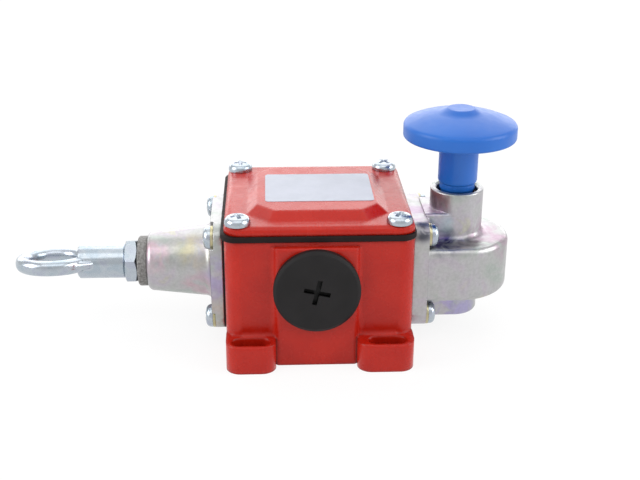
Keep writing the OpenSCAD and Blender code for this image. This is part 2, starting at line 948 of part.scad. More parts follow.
module guide_bush() {
  r = bush_d / 2;
  color("#8c8a86")
    difference() {
      turned(bush_face_x)
        polygon([
          [0, 0], [r - bush_chamfer, 0], [r, bush_chamfer], [r, bush_collar_t],
          [bush_body_d / 2, bush_collar_t], [bush_body_d / 2, bush_collar_t + bush_seat_l],
          [0, bush_collar_t + bush_seat_l]
        ]);
      rod(bush_face_x - 1, spring_seat_x + 1, rod_d + 2 * fine);
      rod(bush_face_x - 1, bush_face_x + wiper_l + 0.2, wiper_d);
    }
}

// Scraper ring in the mouth of the guide bush
module rod_wiper() {
  color(black)
    turned(bush_face_x + 0.1)
      translate([rod_d / 2 + fine, 0])
        square([(wiper_d - rod_d) / 2 - 2 * fine, wiper_l]);
}

// Bush in the far end wall, where the rod passes into the reset head
module inner_bush() {
  wall_x = end_x(1) - wall;
  color(brass)
    difference() {
      union() {
        rod(wall_x - inner_bush_collar_t, wall_x, inner_bush_collar_d);
        rod(wall_x - eps, end_x(1), inner_bush_d);
      }
      rod(wall_x - inner_bush_collar_t - 1, end_x(1) + 1, rod_end_d + 2 * fine);
    }
}

// --- pull rod and what it carries --------------------------------------------

module pull_rod() {
  r = rod_d / 2;
  end_r = rod_end_d / 2;
  clip_y = clip_x - rod_x0;
  groove_y = latch_groove_x - latch_groove_l / 2 - rod_x0;
  step_y = rod_step_x - rod_x0;
  end_y = rod_x1 - rod_x0;
  color(steel)
    turned(rod_x0)
      polygon([
        [0, 0], [r - rod_chamfer, 0], [r, rod_chamfer],
        [r, clip_y], [clip_groove_d / 2, clip_y],
        [clip_groove_d / 2, clip_y + clip_t + 0.1], [r, clip_y + clip_t + 0.1],
        [r, step_y], [end_r, step_y],
        [end_r, groove_y], [latch_groove_d / 2, groove_y],
        [latch_groove_d / 2, groove_y + latch_groove_l], [end_r, groove_y + latch_groove_l],
        [end_r, end_y - rod_chamfer], [end_r - rod_chamfer, end_y], [0, end_y]
      ]);
}

// Collar that the pull spring pushes against, with a spigot that centres the spring
module spring_collar() {
  color(steel)
    difference() {
      union() {
        rod(collar_x, cam_x0, collar_d);
        rod(collar_x - spigot_l, collar_x + 1, spigot_d);
      }
      rod(collar_x - spigot_l - 1, cam_x0 + 1, rod_d + 2 * fine);
    }
}

// Sleeve with one ramp for each contact plunger
module cam_sleeve() {
  start = [for (x = plunger_x) x - cam_lead - cam_x0];
  end_y = cam_x1 - cam_x0;
  color(steel)
    difference() {
      turned(cam_x0)
        polygon([
          [0, 0], [cam_r0, 0],
          [cam_r0, start[0]], [cam_peak_r, start[0] + cam_ramp_l], [cam_r0, start[0] + cam_ramp_l],
          [cam_r0, start[1]], [cam_peak_r, start[1] + cam_ramp_l], [cam_r0, start[1] + cam_ramp_l],
          [cam_r0, end_y], [0, end_y]
        ]);
      rod(cam_x0 - 1, cam_x1 + 1, rod_d + 2 * fine);
    }
}

module retaining_ring() {
  color(steel)
    difference() {
      rod(clip_x, clip_x + clip_t, clip_d);
      rod(clip_x - 1, clip_x + clip_t + 1, clip_groove_d + 2 * fine);
      translate([clip_x - 1, -clip_gap / 2, axis_z - clip_d])
        cube([clip_t + 2, clip_gap, clip_d]);
    }
}

module lock_nut() {
  corner_r = nut_af / sqrt(3);
  chamfer = (corner_r - nut_af / 2) * nut_chamfer;
  color(zinc)
    difference() {
      intersection() {
        translate([nut_x - nut_t, 0, axis_z])
          rotate([nut_turn, 0, 0])
            rotate([0, 90, 0])
              cylinder(h = nut_t, r = corner_r, $fn = 6);
        turned(nut_x - nut_t)
          polygon([
            [0, 0], [nut_af / 2, 0], [corner_r + eps, chamfer],
            [corner_r + eps, nut_t - chamfer], [nut_af / 2, nut_t], [0, nut_t]
          ]);
      }
      rod(nut_x - nut_t - 1, nut_x + 1, rod_d + 2 * fine);
    }
}

// Section of the eye's ring, a little thicker along the ring's own axis than across
module eye_section() {
  square([eye_wire_d, eye_wire_h - eye_wire_d + eps], center = true);
  for (s = [-1, 1])
    translate([0, s * (eye_wire_h - eye_wire_d) / 2])
      circle(d = eye_wire_d, $fn = 48);
}

// Ring with a tapering root along each side of the shank
module rope_eye() {
  shank_r = shank_d / 2;
  face_r = shank_r - shank_chamfer;
  color(zinc)
    difference() {
      union() {
        turned(shank_end_x)
          polygon([
            [0, 0], [face_r, 0], [shank_r, shank_chamfer],
            [shank_r, shank_l - shank_chamfer], [face_r, shank_l], [0, shank_l]
          ]);
        translate([eye_x, 0, axis_z])
          rotate([-eye_turn, 0, 0]) {
            rotate_extrude()
              translate([eye_mean_r, 0])
                eye_section();
            for (m = [0, 1])
              mirror([0, m, 0])
                rotate([0, 0, eye_root_angle])
                  translate([eye_mean_r, 0, 0])
                    rotate([90, 0, 0])
                      cylinder(h = eye_root_l, r1 = eye_root_r0, r2 = eye_root_r1);
          }
      }
      rod(rod_x0 - 1, shank_x + 1, rod_d + 2 * fine);
    }
}

module pull_spring() {
  color(steel)
    translate([spring_seat_x, 0, axis_z])
      rotate([0, 90, 0])
        coil(spring_d, spring_wire, collar_x - spring_seat_x, spring_turns, 20, 8);
}

// --- reset head --------------------------------------------------------------

// Half outline of an upright block with rounded edges
module edge_profile(r, height, edge) {
  square([r - edge, height]);
  translate([0, edge])
    square([r, height - 2 * edge]);
  for (y = [edge, height - edge])
    translate([r - edge, y])
      circle(r = edge);
}

// The children's half outline, run straight from the flange and turned round the knob's axis
module d_body(x0, z0) {
  translate([knob_x, 0, z0])
    rotate([0, 0, -90])
      rotate_extrude(angle = 180)
        children();
  translate([x0, 0, z0])
    for (m = [0, 1])
      mirror([0, m, 0])
        along_x(knob_x - x0)
          children();
}

module column_profile() {
  edge_profile(column_r, column_z1 - column_z0, column_edge_r);
  translate([column_r, slab_z0 + slab_h - column_z0])
    fillet(column_fillet_r);
  translate([column_r, slab_z0 - column_z0])
    mirror([0, 1])
      fillet(column_fillet_r / 2);
}

// Upright fillets where the column meets the flange
module flange_fillets() {
  translate([reset_face_x, 0, column_z0 + column_edge_r])
    linear_extrude(column_z1 - column_z0 - 2 * column_edge_r)
      for (m = [0, 1])
        mirror([0, m])
          translate([0, column_r])
            fillet(flange_fillet_r);
}

// Round tower that stands on the level body and guides the knob
module tower() {
  foot_z = slab_z0 + slab_h / 2;
  h = tower_z - foot_z;
  r = tower_d / 2;
  translate([knob_x, 0, foot_z])
    rotate_extrude() {
      square([r, h - tower_edge_r]);
      square([r - tower_edge_r, h]);
      translate([r - tower_edge_r, h - tower_edge_r])
        circle(r = tower_edge_r, $fn = 32);
    }
}

module reset_head() {
  mouth_z = tower_z - tower_mouth;
  mouth_h = tower_mouth + 1;
  color(zinc)
    difference() {
      union() {
        on_end(1, reset_head_x)
          linear_extrude(reset_flange_t)
            rounded(flange_a, flange_a, flange_r);
        d_body(reset_head_x + 1, slab_z0)
          edge_profile(slab_r, slab_h, slab_edge_r);
        d_body(reset_face_x - 0.5, column_z0)
          column_profile();
        flange_fillets();
        tower();
      }
      translate([knob_x, 0, 0]) {
        translate([0, 0, guide_z1])
          cylinder(h = tower_z, d = tower_bore_d);
        translate([0, 0, mouth_z])
          cylinder(h = mouth_h, d1 = tower_bore_d, d2 = tower_bore_d + 2 * mouth_h);
        translate([0, 0, guide_z0 - 1])
          cylinder(h = guide_z1 - guide_z0 + 2, d = neck_d + 2 * fine);
        translate([0, 0, cavity_z0])
          cylinder(h = guide_z0 - cavity_z0, d = cavity_d);
      }
      translate([reset_head_x - 1, -cavity_d / 2, cavity_z0])
        cube([knob_x - reset_head_x + 1, cavity_d, guide_z0 - cavity_z0]);
      rod(knob_x, rod_hole_x, rod_hole_d);
      flange_holes(1, reset_head_x, reset_flange_t);
    }
}

// Seal ring round the knob's neck, on the ledge in the tower
module reset_seal() {
  section = (tower_bore_d - neck_d) / 2 - 2 * fine;
  color(black)
    translate([knob_x, 0, guide_z1 + section / 2])
      rotate_extrude()
        translate([(tower_bore_d + neck_d) / 4, 0])
          circle(d = section, $fn = 32);
}

// --- reset knob --------------------------------------------------------------

// Half outline of the knob's head, from the bottom of its rim
module knob_head_profile() {
  r = knob_d / 2;
  height = knob_rim_h + knob_dome_h;
  dome_r = (r * r + knob_dome_h * knob_dome_h) / (2 * knob_dome_h);
  edge_x = r - knob_edge_r;
  edge_r = dome_r - knob_edge_r;
  edge_z = height - dome_r + sqrt(edge_r * edge_r - edge_x * edge_x);
  centre_r = knob_centre_d / 2;
  centre_foot_r = centre_r + knob_centre_slope * (knob_centre_h + 1);
  square([r - knob_rim_r, edge_z]);
  translate([0, knob_rim_r])
    square([r, edge_z - knob_rim_r]);
  translate([r - knob_rim_r, knob_rim_r])
    circle(r = knob_rim_r, $fn = 48);
  translate([edge_x, edge_z])
    circle(r = knob_edge_r, $fn = 48);
  intersection() {
    square([edge_x * dome_r / edge_r, height]);
    translate([0, height - dome_r])
      circle(r = dome_r, $fn = 720);
  }
  polygon([
    [0, height - 1], [centre_foot_r, height - 1],
    [centre_r, height + knob_centre_h], [0, height + knob_centre_h]
  ]);
}

module reset_knob() {
  stem_r = stem_d / 2;
  shell_r = knob_d / 2 - knob_wall;
  under_z = knob_rim_z + knob_under_h;
  slit_w = latch_t + 2 * fine;
  color(blue)
    translate([knob_x, 0, 0])
      difference() {
        rotate_extrude() {
          difference() {
            translate([0, knob_rim_z])
              knob_head_profile();
            polygon([
              [stem_r, knob_rim_z - 1], [shell_r, knob_rim_z - 1],
              [shell_r, knob_rim_z + 1], [stem_r + knob_under_h, under_z], [stem_r, under_z]
            ]);
          }
          polygon([
            [0, neck_end_z], [neck_d / 2, neck_end_z], [neck_d / 2, neck_step_z],
            [neck_step_d / 2, neck_step_z], [neck_step_d / 2, stem_z],
            [stem_r - stem_chamfer_r, stem_z], [stem_r, stem_z + stem_chamfer_h],
            [stem_r, under_z + 1], [0, under_z + 1]
          ]);
        }
        translate([-slit_w / 2, -neck_d, neck_end_z - 1])
          cube([slit_w, 2 * neck_d, latch_slit_z - neck_end_z + 1]);
        translate([-neck_d, 0, latch_pin_z])
          rotate([0, 90, 0])
            cylinder(h = 2 * neck_d, d = latch_pin_d + 2 * fine);
      }
}

// Flat plate that hangs from the knob's neck and straddles the rod, with a foot for its spring
module latch_plate() {
  slot_z1 = axis_z + latch_slot_w / 2 + push_stroke;
  color(steel)
    translate([knob_x - latch_t / 2, 0, 0]) {
      difference() {
        along_x(latch_t)
          difference() {
            union() {
              translate([-latch_w / 2, latch_foot_z])
                square([latch_w, neck_end_z - seat - latch_foot_z]);
              translate([-latch_tang_w / 2, latch_foot_z])
                square([latch_tang_w, latch_slit_z - 0.2 - latch_foot_z]);
            }
            translate([-latch_slot_w / 2, axis_z - latch_slot_w / 2])
              square([latch_slot_w, slot_z1 - axis_z]);
            translate([0, slot_z1 - latch_slot_w / 2])
              circle(d = latch_slot_w);
          }
        translate([-1, 0, latch_pin_z])
          rotate([0, 90, 0])
            cylinder(h = latch_t + 2, d = latch_pin_d + 2 * fine);
      }
      translate([latch_t / 2, 0, latch_foot_z])
        cylinder(h = latch_foot_t, d = latch_foot_d);
    }
}

module latch_pin() {
  color(steel)
    translate([knob_x - latch_pin_l / 2, 0, latch_pin_z])
      rotate([0, 90, 0])
        cylinder(h = latch_pin_l, d = latch_pin_d);
}

module reset_spring() {
  color(steel)
    translate([knob_x, 0, cavity_z0])
      coil(reset_spring_d, reset_spring_wire, latch_foot_z - cavity_z0, reset_spring_turns, 20, 6);
}

// --- contacts ----------------------------------------------------------------

// Sheet portal that stands over the rod and carries both contact blocks
module contact_bracket() {
  h = bracket_z1 - floor_t;
  color(zinc)
    difference() {
      translate([-bracket_l / 2, 0, floor_t])
        along_x(bracket_l) {
          difference() {
            union() {
              rounded(2 * leg_y, 2 * h, bracket_bend_r);
              translate([-bracket_foot_y, 0])
                square([2 * bracket_foot_y, sheet_t]);
            }
            rounded(2 * (leg_y - sheet_t), 2 * (h - sheet_t), bracket_bend_r - sheet_t);
            translate([-leg_y - 1, -h - 1])
              square([2 * leg_y + 2, h + 1]);
          }
        }
      translate([0, 0, floor_t - 1])
        four(bracket_screw_pitch_x, bracket_screw_pitch_y)
          cylinder(h = sheet_t + 2, d = m3 + m3_clear);
      for (x = plunger_x)
        translate([x, 0, block_z0 - sheet_t - 1]) {
          cylinder(h = sheet_t + 2, d = plunger_d + 1);
          contact_mounts()
            cylinder(h = sheet_t + 2, d = m3 + 2 * fine);
        }
    }
}

// The two mounting screws of a block stand on its diagonal
module contact_mounts() {
  for (s = [-1, 1])
    translate([s * mount_dx, s * mount_y, 0])
      children();
}

module bracket_screws() {
  color(zinc)
    translate([0, 0, floor_t + sheet_t])
      four(bracket_screw_pitch_x, bracket_screw_pitch_y)
        pan_screw(m3, m3_head_d, m3_head_h, sheet_t + m3_floor_depth - 0.4);
}

// Block with a raised middle over the plunger and a terminal deck at each end
module contact_block(x) {
  color(black)
    translate([x, 0, block_z0])
      difference() {
        union() {
          translate([-block_l / 2, -block_w / 2, 0])
            cube([block_l, block_w, deck_h]);
          translate([-block_l / 2, -hump_w / 2, 0])
            cube([block_l, hump_w, block_h]);
          translate([-rib_t / 2, -block_w / 2, 0])
            cube([rib_t, block_w, block_h]);
        }
        translate([0, 0, -1])
          cylinder(h = block_h, d = plunger_d + 2 * fine, $fn = 48);
        translate([0, 0, chamber_z0 - block_z0])
          cylinder(h = chamber_z1 - chamber_z0, d = chamber_d);
        translate([0, 0, -1])
          contact_mounts()
            cylinder(h = block_h + 2, d = m3 + m3_clear);
        translate([0, 0, deck_h - terminal_depth])
          four(2 * terminal_dx, 2 * terminal_y)
            cylinder(h = terminal_depth + 1, d = m3 + 2 * fine);
      }
}

module contact_block_left() {
  contact_block(plunger_x[0]);
}

module contact_block_right() {
  contact_block(plunger_x[1]);
}

module contact_screws() {
  color(zinc)
    for (x = plunger_x)
      translate([x, 0, block_z0 + block_h])
        contact_mounts()
          pan_screw(m3, m3_head_d, m3_head_h, block_h + sheet_t - fine);
}

// Terminal screws with square clamp plates
module terminal_screws() {
  color(brass)
    for (x = plunger_x)
      translate([x, 0, block_z0 + deck_h])
        four(2 * terminal_dx, 2 * terminal_y) {
          translate([-terminal_plate / 2, -terminal_plate / 2, 0])
            cube([terminal_plate, terminal_plate, clamp_t]);
          translate([0, 0, clamp_t])
            pan_screw(m3, terminal_head_d, terminal_head_h, clamp_t + terminal_depth - 0.5);
        }
}

// Round-tipped plunger with a collar and a pin for its spring, turned about its own axis
module plunger(x) {
  stem_h = collar_z0 - tip_z;
  color("ivory")
    translate([x, 0, tip_z])
      rotate_extrude($fn = 48)
        intersection() {
          union() {
            circle(r = tip_r, $fn = 48);
            square([tip_r, stem_h]);
            translate([0, stem_h])
              square([plunger_collar_d / 2, plunger_collar_t]);
            translate([0, stem_h])
              square([plunger_pin_r, plunger_collar_t + plunger_pin_h]);
          }
          translate([0, -tip_r])
            square([plunger_d, 2 * plunger_d + stem_h]);
        }
}

module plunger_left() {
  plunger(plunger_x[0]);
}

module plunger_right() {
  plunger(plunger_x[1]);
}

module plunger_spring(x) {
  foot_z = collar_z0 + plunger_collar_t;
  color(steel)
    translate([x, 0, foot_z])
      coil(plunger_spring_d, plunger_spring_wire, chamber_z1 - foot_z, 5, 16, 6);
}

module plunger_spring_left() {
  plunger_spring(plunger_x[0]);
}

module plunger_spring_right() {
  plunger_spring(plunger_x[1]);
}

// Earth terminal on its boss on the housing's floor
module earth_screw() {
  color(brass)
    translate([earth_x, earth_y, earth_boss_z]) {
      translate([-earth_plate / 2, -earth_plate / 2, 0])
        cube([earth_plate, earth_plate, clamp_t]);
      translate([0, 0, clamp_t])
        pan_screw(m4, m4_head_d, m4_head_h, earth_boss_z - floor_t + earth_depth + clamp_t - 0.5);
    }
}

housing();
cover_gasket();
cover();
cover_screws();
cable_plug_front();
cable_plug_rear();
plug_seals();
rope_head();
rope_head_gasket();
rope_head_screws();
rope_head_washers();
guide_bush();
rod_wiper();
inner_bush();
reset_head();
reset_head_gasket();
reset_head_screws();
reset_head_washers();
reset_seal();
contact_bracket();
bracket_screws();
contact_block_left();
contact_block_right();
contact_screws();
terminal_screws();
plunger_left();
plunger_right();
plunger_spring_left();
plunger_spring_right();
earth_screw();
pull_rod();
spring_collar();
cam_sleeve();
retaining_ring();
lock_nut();
rope_eye();
pull_spring();
reset_knob();
latch_plate();
latch_pin();
reset_spring();
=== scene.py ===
"""Looks of the rope pull switch: camera, materials, label, screw heads, springs, floor and light."""
import json
import math

import bmesh
import bpy
from mathutils import Matrix, Vector


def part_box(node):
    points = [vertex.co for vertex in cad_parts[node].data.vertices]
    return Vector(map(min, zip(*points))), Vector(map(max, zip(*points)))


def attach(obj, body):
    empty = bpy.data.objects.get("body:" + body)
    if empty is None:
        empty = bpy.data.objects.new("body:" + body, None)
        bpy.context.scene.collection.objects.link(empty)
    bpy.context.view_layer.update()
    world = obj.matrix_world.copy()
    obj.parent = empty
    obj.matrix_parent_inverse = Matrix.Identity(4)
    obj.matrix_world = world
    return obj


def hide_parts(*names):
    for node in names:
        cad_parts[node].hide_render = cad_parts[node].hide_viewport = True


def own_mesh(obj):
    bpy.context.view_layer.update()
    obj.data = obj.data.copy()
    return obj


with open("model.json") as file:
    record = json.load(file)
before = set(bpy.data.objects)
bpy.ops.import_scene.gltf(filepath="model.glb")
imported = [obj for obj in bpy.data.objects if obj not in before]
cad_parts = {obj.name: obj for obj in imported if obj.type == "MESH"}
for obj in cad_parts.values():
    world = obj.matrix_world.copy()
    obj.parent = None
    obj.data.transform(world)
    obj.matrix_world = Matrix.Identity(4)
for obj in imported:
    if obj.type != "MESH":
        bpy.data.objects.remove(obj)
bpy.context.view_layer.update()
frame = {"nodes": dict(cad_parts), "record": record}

MM = 0.001

# --- camera ------------------------------------------------------------------

CAMERA_AT = Vector((-17.9, -405.7, 208.2)) * MM
CAMERA_YAW = math.radians(2.80)      # from +Y towards +X
CAMERA_PITCH = math.radians(23.0)    # downwards
CAMERA_ROLL = math.radians(0.34)
CAMERA_LENS = 61.9                   # mm
SENSOR_WIDTH = 36.0                  # mm
CAMERA_CLIP = (0.01, 20.0)


def make_camera():
    """The photo's camera, solved from the housing, the cover screws and the plug."""
    data = bpy.data.cameras.new("camera")
    data.sensor_width = SENSOR_WIDTH
    data.lens = CAMERA_LENS
    data.clip_start, data.clip_end = CAMERA_CLIP
    camera = bpy.data.objects.new("camera", data)
    bpy.context.scene.collection.objects.link(camera)
    forward = Vector((
        math.sin(CAMERA_YAW) * math.cos(CAMERA_PITCH),
        math.cos(CAMERA_YAW) * math.cos(CAMERA_PITCH),
        -math.sin(CAMERA_PITCH),
    ))
    right = Vector((math.cos(CAMERA_YAW), -math.sin(CAMERA_YAW), 0.0))
    up = right.cross(forward)
    c, s = math.cos(CAMERA_ROLL), math.sin(CAMERA_ROLL)
    rolled_right = right * c + up * s
    rolled_up = up * c - right * s
    turn = Matrix((rolled_right, rolled_up, -forward)).transposed()
    camera.matrix_world = Matrix.Translation(CAMERA_AT) @ turn.to_4x4()
    bpy.context.scene.camera = camera


# --- shader building blocks --------------------------------------------------

MIDDLE = (0.3, 0.7)      # the part of a noise's range that most of it lies in
EDGE_SAMPLES = 6


def feed(tree, value, socket):
    """Links an output to a socket, or sets a constant on it."""
    if isinstance(value, bpy.types.NodeSocket):
        tree.links.new(value, socket)
    else:
        socket.default_value = value


class Shader:
    """A new material with short ways to add and join its nodes."""

    def __init__(self, name):
        self.material = bpy.data.materials.new(name)
        self.material.use_nodes = True
        self.tree = self.material.node_tree
        self.bsdf = self.tree.nodes["Principled BSDF"]
        coord = self.tree.nodes.new("ShaderNodeTexCoord")
        self.place = coord.outputs["Object"]
        self.rounded = None

    def round_edges(self, radius):
        """Shades hard edges as if they had this radius."""
        node = self.tree.nodes.new("ShaderNodeBevel")
        node.samples = EDGE_SAMPLES
        node.inputs["Radius"].default_value = radius
        self.rounded = node.outputs["Normal"]

    def set(self, **values):
        """Sets constants on the shader's own sockets."""
        for name, value in values.items():
            self.bsdf.inputs[name.replace("_", " ")].default_value = value

    def join(self, output, name):
        """Links an output to one of the shader's sockets."""
        self.tree.links.new(output, self.bsdf.inputs[name])

    def noise(self, size, detail=2.0, rough=0.5, distortion=0.0, stretch=None):
        """Noise whose features are about `size` metres across."""
        node = self.tree.nodes.new("ShaderNodeTexNoise")
        node.inputs["Scale"].default_value = 1.0 / size
        node.inputs["Detail"].default_value = detail
        node.inputs["Roughness"].default_value = rough
        node.inputs["Distortion"].default_value = distortion
        self.tree.links.new(self.stretched(stretch), node.inputs["Vector"])
        return node.outputs["Fac"]

    def stretched(self, stretch):
        """Object coordinates, with their axes scaled if asked."""
        if stretch is None:
            return self.place
        node = self.tree.nodes.new("ShaderNodeMapping")
        node.inputs["Scale"].default_value = stretch
        self.tree.links.new(self.place, node.inputs["Vector"])
        return node.outputs["Vector"]

    def ramp(self, fac, stops):
        """Colour ramp from (position, colour) stops in rising order."""
        node = self.tree.nodes.new("ShaderNodeValToRGB")
        points = node.color_ramp.elements
        while len(points) < len(stops):
            points.new(0.5)
        for point, (position, colour) in zip(points, stops):
            point.position = position
            point.color = colour
        self.tree.links.new(fac, node.inputs["Fac"])
        return node.outputs["Color"]

    def grey_ramp(self, fac, low, high, start, end):
        """Plain number that goes from low to high while fac goes from start to end."""
        return self.ramp(fac, [(start, (low, low, low, 1.0)), (end, (high, high, high, 1.0))])

    def two_tone(self, size, detail, dark, light):
        """Noise between two colours."""
        start, end = MIDDLE
        return self.ramp(self.noise(size, detail=detail), [(start, dark), (end, light)])

    def mottle(self, size, detail, dark, light):
        """Two-tone noise as the base colour."""
        self.join(self.two_tone(size, detail, dark, light), "Base Color")

    def roughen(self, size, detail, low, high):
        """Noise between two values as the roughness."""
        self.join(self.grey_ramp(self.noise(size, detail=detail), low, high, *MIDDLE), "Roughness")

    def mix(self, fac, a, b, blend="MIX"):
        """Colour mix; the node's inputs 0, 6 and 7 are the share and the colours, and output 2 the mix."""
        node = self.tree.nodes.new("ShaderNodeMix")
        node.data_type = "RGBA"
        node.blend_type = blend
        for value, index in ((fac, 0), (a, 6), (b, 7)):
            feed(self.tree, value, node.inputs[index])
        return node.outputs[2]

    def near(self, place, reach, core=0.0):
        """1 within the core of a place on the object, falling to 0 at the reach."""
        away = self.tree.nodes.new("ShaderNodeVectorMath")
        away.operation = "DISTANCE"
        self.tree.links.new(self.place, away.inputs[0])
        away.inputs[1].default_value = place
        fall = self.tree.nodes.new("ShaderNodeMapRange")
        fall.interpolation_type = "SMOOTHSTEP"
        fall.inputs["From Min"].default_value = core
        fall.inputs["From Max"].default_value = reach
        fall.inputs["To Min"].default_value = 1.0
        fall.inputs["To Max"].default_value = 0.0
        self.tree.links.new(away.outputs["Value"], fall.inputs["Value"])
        return fall.outputs["Result"]

    def times(self, a, b):
        """Product of two numbers."""
        node = self.tree.nodes.new("ShaderNodeMath")
        node.operation = "MULTIPLY"
        feed(self.tree, a, node.inputs[0])
        feed(self.tree, b, node.inputs[1])
        return node.outputs[0]

    def bump(self, height, strength, distance, below=None):
        """Bump on top of another one, or on the rounded edges where there are any."""
        node = self.tree.nodes.new("ShaderNodeBump")
        node.inputs["Strength"].default_value = strength
        node.inputs["Distance"].default_value = distance
        self.tree.links.new(height, node.inputs["Height"])
        below = below or self.rounded
        if below is not None:
            self.tree.links.new(below, node.inputs["Normal"])
        return node.outputs["Normal"]


def rgb(r, g, b):
    """Linear colour of an sRGB colour given in 0 to 255."""
    def linear(c):
        c /= 255.0
        return c / 12.92 if c <= 0.04045 else ((c + 0.055) / 1.055) ** 2.4
    return (linear(r), linear(g), linear(b), 1.0)


# --- materials ---------------------------------------------------------------

def red_paint():
    """Gloss enamel over a casting: slight orange peel, faint mottling."""
    m = Shader("red_paint")
    m.round_edges(1.6 * MM)
    m.mottle(12 * MM, 3.0, rgb(165, 22, 8), rgb(174, 29, 12))
    m.roughen(4 * MM, 4.0, 0.22, 0.32)
    peel = m.bump(m.noise(1.6 * MM, detail=1.0), 0.10, 0.1 * MM)
    waves = m.bump(m.noise(9 * MM, detail=1.0), 0.15, 0.2 * MM, below=peel)
    m.join(waves, "Normal")
    m.set(Specular_IOR_Level=0.32)
    return m.material


# greys that the casting drifts through, by the value of a slow noise
CASTING_CLOUD = [
    (0.36, rgb(170, 176, 172)), (0.44, rgb(178, 179, 178)), (0.54, rgb(182, 181, 183)),
    (0.62, rgb(182, 176, 184)), (0.68, rgb(184, 182, 172)),
]
CASTING_GRAIN_SHARE = 0.6
SPOT_CORE = 0.4                # share of a spot's reach that has the full tint
SPOT_BREAK_UP = (0.38, 0.6)    # noise values between which a spot goes from bare to tinted

# passivation stains, and some spots of painted shade, painted reflection and painted highlight: place and
# reach in mm in the part's frame, colour, and share of the tint
ROPE_HEAD_STAINS_AND_HIGHLIGHT = [
    ((-40, -22, 30), 13, rgb(164, 148, 196), 0.6),
    ((-40, -22, 14), 8, rgb(190, 170, 150), 0.5),
    ((-46, -10, 35), 10, rgb(214, 196, 140), 0.3),
    ((-46, -12, 22), 9, rgb(206, 150, 170), 0.4),
    # painted highlight with a pink tint: brightens the top of the cone's left end
    ((-64, -10, 34), 9, rgb(214, 170, 184), 0.5),
    ((-50, -8, 37), 8, rgb(196, 190, 140), 0.3),
]
RESET_HEAD_STAINS_AND_SHADE = [
    ((48, -10.5, 46), 7, rgb(150, 196, 204), 0.8),
    ((46, -10.5, 52), 6, rgb(190, 150, 190), 0.6),
    ((51, -10.2, 11), 8, rgb(156, 138, 198), 0.9),
    ((59, -9, 10), 8, rgb(168, 162, 198), 0.9),
    # painted shade: the next two spots darken the shoulder under the slab's top as a dark reflection
    ((50, -15, 39.5), 9, rgb(40, 34, 90), 1.0),
    ((61, -13, 39.5), 8, rgb(90, 90, 94), 0.9),
    ((41, -8, 49.6), 15, rgb(176, 158, 176), 1.0),
    # painted reflection: a dark band on the flange's rounded front-top corner
    ((40, -20.5, 47.5), 6, rgb(70, 72, 84), 0.9),
    ((64, -17.5, 16), 6, rgb(204, 198, 150), 0.5),
    # painted shade with a painted red reflection on the tower's left side
    ((46, -10.5, 66), 7, rgb(150, 110, 110), 0.7),
    ((70, -6, 39.5), 14, rgb(172, 148, 164), 0.9),
]


def zinc_casting(name, spots):
    """Grey zinc die casting with stains of its passivation, and the painted shade, reflections and
    highlights that its spot list holds.
    """
    m = Shader(name)
    m.round_edges(0.6 * MM)
    tint = m.ramp(m.noise(14 * MM, detail=3.0, distortion=1.0), CASTING_CLOUD)
    break_up = m.grey_ramp(m.noise(6 * MM, detail=3.0, distortion=0.6), 0.0, 1.0, *SPOT_BREAK_UP)
    for place, reach, colour, share in spots:
        near = m.near(Vector(place) * MM, reach * MM, reach * SPOT_CORE * MM)
        tint = m.mix(m.times(m.times(near, break_up), share), tint, colour)
    grain = m.grey_ramp(m.noise(1.1 * MM, detail=4.0, rough=0.7), 0.74, 1.0, 0.3, 0.62)
    m.join(m.mix(CASTING_GRAIN_SHARE, tint, grain, blend="MULTIPLY"), "Base Color")
    m.roughen(2.5 * MM, 4.0, 0.28, 0.44)
    skin = m.bump(m.noise(0.9 * MM, detail=3.0, rough=0.6), 0.2, 0.1 * MM)
    flow = m.bump(m.noise(5 * MM, detail=2.0), 0.2, 0.3 * MM, below=skin)
    m.join(flow, "Normal")
    m.set(Metallic=0.9)
    return m.material


PLATE_CLOUD = [(0.35, rgb(166, 178, 188)), (0.5, rgb(179, 187, 194)), (0.65, rgb(172, 178, 191))]


def zinc_plated():
    """Bright, slightly blue zinc plate with fine handling marks."""
    m = Shader("zinc_plated")
    m.round_edges(0.3 * MM)
    m.join(m.ramp(m.noise(6 * MM, detail=3.0, distortion=0.8), PLATE_CLOUD), "Base Color")
    m.roughen(1.6 * MM, 4.0, 0.18, 0.34)
    m.join(m.bump(m.noise(1.2 * MM, detail=3.0), 0.12, 0.1 * MM), "Normal")
    m.set(Metallic=1.0)
    return m.material


def blue_plastic():
    """Satin moulded plastic with a faint flow pattern."""
    m = Shader("blue_plastic")
    m.round_edges(0.8 * MM)
    m.mottle(20 * MM, 2.0, rgb(26, 93, 180), rgb(31, 101, 188))
    m.roughen(3 * MM, 3.0, 0.32, 0.42)
    m.join(m.bump(m.noise(1.2 * MM, detail=2.0), 0.08, 0.1 * MM), "Normal")
    m.set(Specular_IOR_Level=0.4)
    return m.material


def moulded(name, dark, light, rough_low, rough_high, gloss=0.25):
    """Plain matt moulded plastic or rubber."""
    m = Shader(name)
    m.round_edges(0.4 * MM)
    m.mottle(8 * MM, 3.0, dark, light)
    m.roughen(2 * MM, 3.0, rough_low, rough_high)
    m.join(m.bump(m.noise(0.8 * MM, detail=2.0), 0.25, 0.1 * MM), "Normal")
    m.set(Specular_IOR_Level=gloss)
    return m.material


# painted shade in the cross slot, round the centre of a plug's face: where its slot ends, where the rim is
# clear, how deep the full painted shade lies
PLUG_SHADE_CORE, PLUG_SHADE_REACH, PLUG_SHADE_DEPTH = 5.4 * MM, 7.0 * MM, 1.0 * MM


